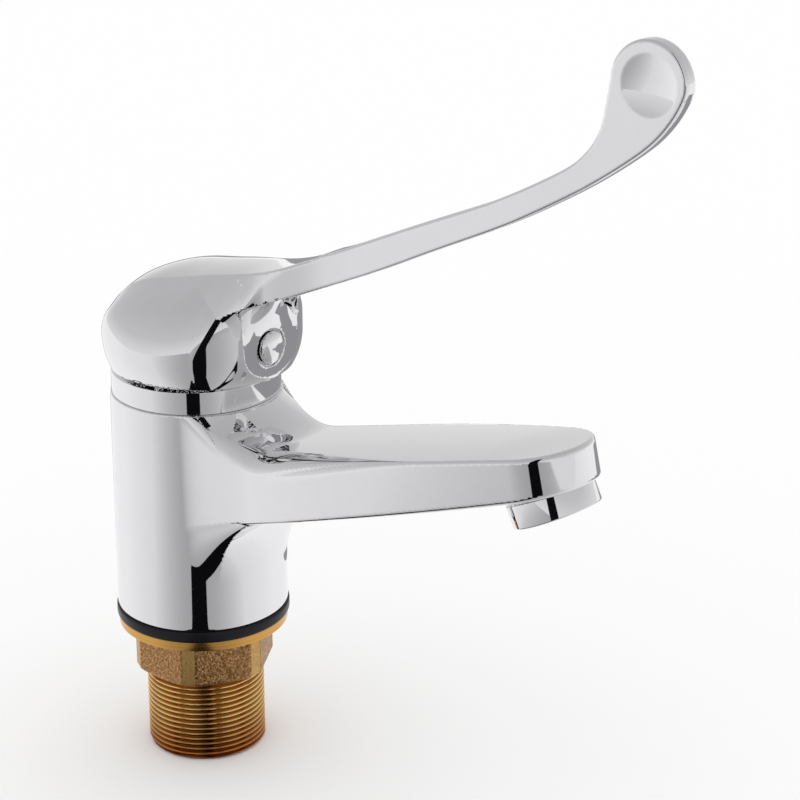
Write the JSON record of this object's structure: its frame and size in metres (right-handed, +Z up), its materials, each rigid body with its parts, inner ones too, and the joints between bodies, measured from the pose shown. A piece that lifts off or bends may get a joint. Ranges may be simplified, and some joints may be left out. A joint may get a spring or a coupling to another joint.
{
  "type": "elbow lever tap",
  "caption": "Single-hole mixer tap with a round barrel, a low spout and a long elbow lever that ends in a dished pad.",
  "frame": {"origin": "centre of the base gasket's underside, where it rests on the deck", "axes": "+Z up along the barrel's axis, +X from the barrel towards the spout's tip, XZ the plane of symmetry"},
  "size_m": [0.1715, 0.0522, 0.2134],
  "materials": {
    "chrome": "polished",
    "machined_brass": "turned",
    "cast_brass": "sand cast, tumbled",
    "rubber": "matte",
    "steel": "turned",
    "ceramic": "lapped",
    "cartridge_plastic": "moulded",
    "index_insert": "polished dome"
  },
  "bodies": {
    "casting": {"body_casting": "chrome", "trim_ring": "chrome", "cartridge_nut": "machined_brass", "cartridge_housing": "cartridge_plastic", "cartridge_base": "cartridge_plastic", "cartridge_seals": "rubber", "fixed_disc": "ceramic", "aerator_housing": "chrome", "aerator_insert": "cartridge_plastic", "aerator_washer": "rubber", "base_gasket": "rubber", "shank": "machined_brass"},
    "rotor": {"rotor": "cartridge_plastic", "stem_pin": "steel"},
    "lever": {"lever": "chrome", "stem": "machined_brass", "grub_screw": "steel", "index_button": "index_insert"},
    "discs": {"moving_disc": "ceramic", "disc_carrier": "cartridge_plastic"},
    "washer": {"clamp_washer": "machined_brass"},
    "nut": {"back_nut": "cast_brass"}
  },
  "joints": [
    {"name": "swing", "type": "hinge", "parent": "casting", "child": "rotor", "pos_m": [0, 0, 0.06], "axis": [0, 0, 1], "range_deg": [-50, 50]},
    {"name": "lift", "type": "hinge", "parent": "rotor", "child": "lever", "pos_m": [0, 0, 0.06], "axis": [0, -1, 0], "range_deg": [0, 25]},
    {"name": "disc_slide", "type": "slide", "parent": "rotor", "child": "discs", "axis": [1, 0, 0], "range_m": [0, 0.004]},
    {"name": "washer_slide", "type": "slide", "parent": "casting", "child": "washer", "axis": [0, 0, -1], "range_m": [0, 0.0226]},
    {"name": "nut_turn", "type": "hinge", "parent": "washer", "child": "nut", "pos_m": [0, 0, 0], "axis": [0, 0, -1], "range_deg": [0, 5400]}
  ],
  "couplings": [
    {"joint": "disc_slide", "follows": "lift", "m_per_rad": 0.009},
    {"joint": "washer_slide", "follows": "nut_turn", "m_per_rad": 0.00023873}
  ]
}
